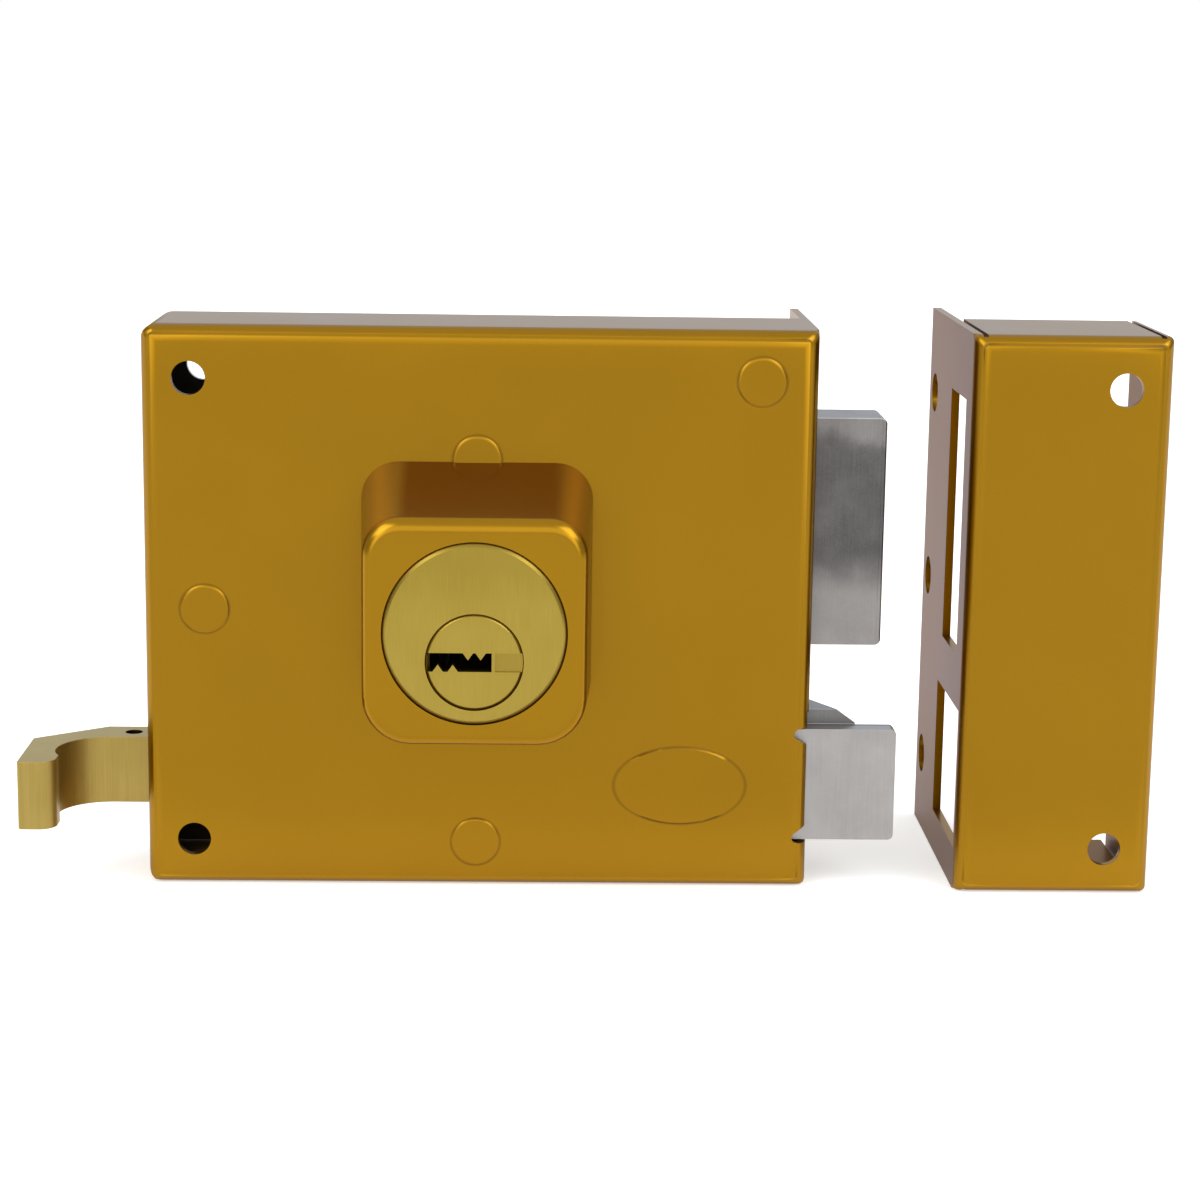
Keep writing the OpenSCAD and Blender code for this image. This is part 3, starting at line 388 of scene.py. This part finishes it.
def ground_zinc(name, dark, light, relief, patch=None):
    """Ground zinc: soft clouds, fine specks, upright grinding marks, and a patch of another tone."""
    finish, shader, place = new_finish(name)
    cloud = grain(place, 7 * mm, 5.0)
    speck = grain(place, 0.35 * mm)
    streak = grain(place, 0.25 * mm, 2.0, (1, 1, 40))
    tone = (cloud - 0.5) * 1.3 + (speck - 0.5) * 0.5 + (streak - 0.5) * 0.5 + 0.5
    colour = blended(tone, dark, light)
    if patch:
        share, patch_dark, patch_light = patch(place, cloud)
        colour = blended(share, colour, blended(tone, patch_dark, patch_light))
    lay(place, shader, colour, 0.3 + 0.12 * speck + 0.08 * streak, speck + streak, relief)
    return finish


def darker_upper(place, cloud):
    """The darker upper part, which ends in cloudy edges and is fainter at the very top."""
    level = along(place, "Z") + (cloud - 0.5) * 10 * mm
    share = between(level, 1 * mm, 9 * mm) * (1 - between(level, 28 * mm, 34 * mm) * 0.6)
    return share, (0.080, 0.075, 0.077, 1), (0.168, 0.158, 0.159, 1)


bolt_zinc = ground_zinc("zinc_darker_above", (0.236, 0.226, 0.221, 1), (0.34, 0.326, 0.317, 1), 0.006 * mm,
                        darker_upper)
zinc_edge = ground_zinc("rubbed_zinc_edges", (0.34, 0.33, 0.325, 1), (0.50, 0.485, 0.475, 1), 0.003 * mm)
dead_bolt = merged_copy("dead_bolt_head", "cast_dead_bolt")
finished(dead_bolt, bolt_zinc, 0.3 * mm, zinc_edge, sharp=55)

# The latch: a second zinc casting, with a ground plate in front of a bevelled body that is left as cast.
# It is riveted to the bar that the pull and the bell crank draw.


def cast_skin(place, cloud):
    """The darker body behind the plate, with the skin of the casting."""
    share = between(along(place, "Y"), -20.6 * mm, -19.8 * mm)
    return share, (0.166, 0.163, 0.162, 1), (0.248, 0.244, 0.242, 1)


latch_zinc = ground_zinc("bright_ground_zinc", (0.30, 0.29, 0.288, 1), (0.41, 0.396, 0.392, 1), 0.006 * mm,
                         cast_skin)
latch = merged_copy("latch_bolt", "cast_latch")
finished(latch, latch_zinc, 0.3 * mm, zinc_edge, sharp=55)

# The pull: a length of drawn brass bar, sawn to a hook and drilled for its pin. Draw marks run up its
# faces, and the bore of the pin's hole is painted near black, as shade between the pull and its pin.
drawn_brass, shader, place = new_finish("drawn_brass")
streak = grain(place, 0.3 * mm, 3.0, (1, 1, 50))
cloud = grain(place, 6 * mm)
tone = (streak - 0.5) * 1.2 + (cloud - 0.5) * 0.5 + 0.5
colour = blended(tone, (0.315, 0.226, 0.056, 1), (0.425, 0.312, 0.092, 1))
low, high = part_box("pull_pin")
pin_r = (high.x - low.x) / 2
from_pin = reach(place, (low + high) / 2, (1, 1, 0))
# Painted shade: the bore round the pin is near black.
outside = between(from_pin, pin_r + 0.05 * mm, pin_r + 0.2 * mm)
colour = blended(outside, (0.02, 0.014, 0.006, 1), colour)
lay(place, shader, colour, 0.36 + 0.14 * streak, streak, 0.006 * mm)
finished(merged_copy("pull_handle", "brass_pull"), drawn_brass, 0.3 * mm)

# A dark oiled steel: the pull pin's own finish, and painted shade on the back plate's inner side.
oiled_steel_and_shade, shader, place = new_finish("oiled_steel_and_shade")
cloud = grain(place, 5 * mm, 4.0)
speck = grain(place, 0.2 * mm)
colour = blended(cloud * 0.7 + speck * 0.3, (0.035, 0.033, 0.030, 1), (0.09, 0.085, 0.078, 1))
lay(place, shader, colour, 0.4 + 0.2 * cloud, speck, 0.004 * mm)
finished(merged_copy("pull_pin", "steel_pull_pin"), oiled_steel_and_shade, 0.15 * mm)

# The works inside: stamped and zinc-plated cam, tail, bars and lever, on bright turned studs and rivets.
# The latch's coil spring sits between its bracket and the latch. Two slotted screws hold the cam to the
# plug.
plated, shader, place = new_finish("zinc_plate")
spangle = grain(place, 3.2 * mm, 4.0)
speck = grain(place, 0.2 * mm)
rolled = grain(place, 0.18 * mm, 3.0, (90, 1, 1))
tone = (spangle - 0.5) * 0.7 + (speck - 0.5) * 0.4 + (rolled - 0.5) * 0.9 + 0.5
colour = blended(tone, (0.30, 0.30, 0.295, 1), (0.44, 0.44, 0.43, 1))
lay(place, shader, colour, 0.26 + 0.12 * spangle + 0.1 * rolled, speck + rolled, 0.004 * mm)
for node in ("drive_cam", "dead_bolt_tail", "latch_lever", "latch_bar", "spring_bracket"):
    finished(merged_copy(node, "plated_" + node), plated, 0.15 * mm)
for node in ("boss_screws", "tail_rivets", "guide_stud", "spring_stud", "latch_rivets", "lever_pin",
             "lever_stud", "lever_clip", "spring_rod", "bracket_rivet", "bolt_spring"):
    finished(merged_copy(node, "steel_" + node), steel, 0.12 * mm)

spring = merged_copy("latch_spring", "coiled_latch_spring")
spring.data.materials.clear()
spring.data.materials.append(steel)
bpy.ops.object.shade_smooth_by_angle(angle=math.radians(50))
low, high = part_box("latch_spring")
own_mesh(spring)


def block(low, high):
    """A plain block between two corners, to cut with."""
    bpy.ops.object.select_all(action="DESELECT")
    middle = [(a + b) / 2 for a, b in zip(low, high)]
    bpy.ops.mesh.primitive_cube_add(size=1, location=middle, scale=[b - a for a, b in zip(low, high)])
    tool = bpy.context.object
    bpy.ops.object.transform_apply(location=True, rotation=True, scale=True)
    return tool


def cut(piece, tool):
    """Cuts a tool's shape out of a piece, and uses the tool up."""
    select_only(piece)
    bpy.ops.object.modifier_add(type="BOOLEAN")
    piece.modifiers[-1].operation = "DIFFERENCE"
    piece.modifiers[-1].solver = "EXACT"
    piece.modifiers[-1].object = tool
    bpy.ops.object.modifier_apply(modifier=piece.modifiers[-1].name)
    bpy.data.objects.remove(tool)


cam_screws = merged_copy("cam_screws", "slotted_cam_screws")
low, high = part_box("cam_screws")
head_r = 2.5 * mm
slot_half = 0.4 * mm
slot_depth = 0.7 * mm
for x in (low.x + head_r, high.x - head_r):
    cut(cam_screws, block([x - slot_half, high.y - slot_depth, low.z - mm],
                          [x + slot_half, high.y + mm, high.z + mm]))
finished(cam_screws, steel, 0.1 * mm)

# The back plate: zinc-plated sheet that closes the case. The side that faces the works is given the pull
# pin's dark steel, as painted shade inside the case. Four countersunk screws with cross recesses hold it to
# the pillars.
plate = merged_copy("back_plate", "plated_back_plate")
finished(plate, plated, 0.15 * mm)
plate.data.materials.append(oiled_steel_and_shade)
works_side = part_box("back_plate")[0].y + 0.05 * mm
# The inner side takes the dark steel, as painted shade.
for face in plate.data.polygons:
    face.material_index = 1 if face.center.y < works_side else 0

screws = merged_copy("back_plate_screws", "cross_screws")
arm = 2.2 * mm
arm_half = 0.5 * mm
recess_depth = 1.4 * mm
taper = 0.55
for x, z in rivets:
    for wide, tall in ((arm, arm_half), (arm_half, arm)):
        bar = block([x - wide, -recess_depth, z - tall], [x + wide, mm, z + tall])
        for corner in bar.data.vertices:
            if corner.co.y < 0:
                corner.co.x += (x - corner.co.x) * taper
                corner.co.z += (z - corner.co.z) * taper
        cut(screws, bar)
finished(screws, plated, 0.1 * mm)

# The strike: a second folded box, screwed to the door frame, with open seams at its corners, a long
# flanged wall and a window for each bolt. It is sprayed with the case's gold. The long wall and the inside
# take a darker gold with a grey-blue reflection tint: painted shade and a painted reflection.
strike = merged_copy("strike_box", "painted_strike")
strike_low, strike_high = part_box("strike_box")
strike_front = strike_low.y
soften_corners(strike, strike_low, strike_high, strike_front, rear=3.1 * mm)
strike_gold, shader, place, colour, roughness, height = gold_paint("satin_gold_on_strike", 24 * mm)
height = height - dished(place, strike_low, strike_high, strike_front)
lay(place, shader, colour, roughness, height, peel_depth)
finished(strike, strike_gold, 0.22 * mm, gold_edge)

# Painted shade and a painted grey-blue reflection for the long wall and the inside.
wall_shade_gold, shader, place, colour, roughness, height = gold_paint("gold_shaded_on_walls", 24 * mm, 0.85)
lay(place, shader, colour, roughness + 0.05, height, peel_depth)
shader.inputs["Specular Tint"].default_value = (0.49, 0.51, 0.67, 1)
shader.inputs["Coat Weight"].default_value = 0.06
strike.data.materials.append(wall_shade_gold)
sheet = 1.5 * mm
slack = 0.1 * mm
inner = sheet - slack
for face in strike.data.polygons:
    x, y, z = face.center
    across = strike_low.x + inner < x < strike_high.x - inner
    upright = strike_low.z + inner < z < strike_high.z - inner
    if x < strike_low.x + slack or (across and upright and y > strike_front + inner):
        face.material_index = 2

# The studio: a paper floor, greyer in front, which glows, most under and behind the lock, as painted light
# that washes out the lock's shadow; and a white tent that is brighter above the camera and to both sides
# of it and greyer at its far sides. Behind the lock is a pale wall, and a soft box stands at either side of
# the camera.
room = bpy.data.worlds.new("studio_room")
bpy.context.scene.world = room
room.use_nodes = True
towards = Wire(room.node_tree).node("TexCoord", output="Generated")
upward = along(towards, "Z")
sideways = abs(along(towards, "X"))
ahead = along(towards, "Y")
camera_side = 1 - between(ahead, -0.1, 0.3)
above = between(upward, 0.0, 0.35) * (1 - between(upward, 0.68, 0.82))
sides = between(sideways, 0.33, 0.45) * between(upward, -0.04, 0.06) * (1 - between(upward, 0.45, 0.7))
far_sides = between(sideways, 0.55, 0.8)
lit = camera_side * (0.75 * above + 1.05 * sides) * (1 - far_sides)
white = blended(between(ahead, 0.3, 0.7), (1.0, 0.99, 0.975, 1), (0.98, 1.06, 1.16, 1))
light = white.node("VectorMath", {"operation": "SCALE"}, {0: white, "Scale": 0.95 + lit - 0.4 * far_sides})
seen = blended(towards.node("LightPath", output="Is Camera Ray"), light, (1, 1, 1, 1))
towards.feed(seen, room.node_tree.nodes["Background"].inputs["Color"])

bpy.ops.object.select_all(action="DESELECT")
bpy.ops.mesh.primitive_plane_add(size=8, location=(0, 0, cad_box[0].z))
floor = bpy.context.object
floor.name = "studio_floor"
paper, shader, place = new_finish("white_paper", metallic=0.0)
near = between(along(place, "Y"), -85 * mm, -40 * mm)
behind = between(along(place, "Y"), -30 * mm, 10 * mm)
glow = blended(near, (0.58, 0.58, 0.58, 1), (0.76, 0.76, 0.76, 1))
place.feed(blended(near, (0.64, 0.64, 0.64, 1), (0.86, 0.86, 0.855, 1)), shader.inputs["Base Color"])
# The floor glows, brightest under and behind the lock: painted light over its shadow.
place.feed(blended(behind, glow, (1, 1, 1, 1)), shader.inputs["Emission Color"])
shader.inputs["Roughness"].default_value = 1.0
shader.inputs["Specular IOR Level"].default_value = 0.0
shader.inputs["Emission Strength"].default_value = 0.5
floor.data.materials.append(paper)

for side in (-1, 1):
    bpy.ops.object.light_add(type="AREA", location=(0.02 + side * 0.5, -0.35, 0.55))
    softbox = bpy.context.object
    softbox.data.shape = "RECTANGLE"
    softbox.data.size = 0.5
    softbox.data.size_y = 0.45
    softbox.data.energy = 1.6
    softbox.visible_camera = False
    softbox.rotation_euler = (math.radians(34), 0, math.radians(side * 55))

# The camera: half a metre in front of the lock and a little above it, fitted to the edges of the case and
# the strike.
camera_place = (8.835 * mm, -511.679 * mm, 98.705 * mm)
camera_turn = [math.radians(angle) for angle in (78.7963, -0.8143, -1.3979)]
bpy.ops.object.camera_add(location=camera_place, rotation=camera_turn)
camera = bpy.context.object
camera.data.sensor_width = 36
camera.data.lens = 83.05
bpy.context.scene.camera = camera
bpy.context.scene.view_settings.view_transform = "Standard"
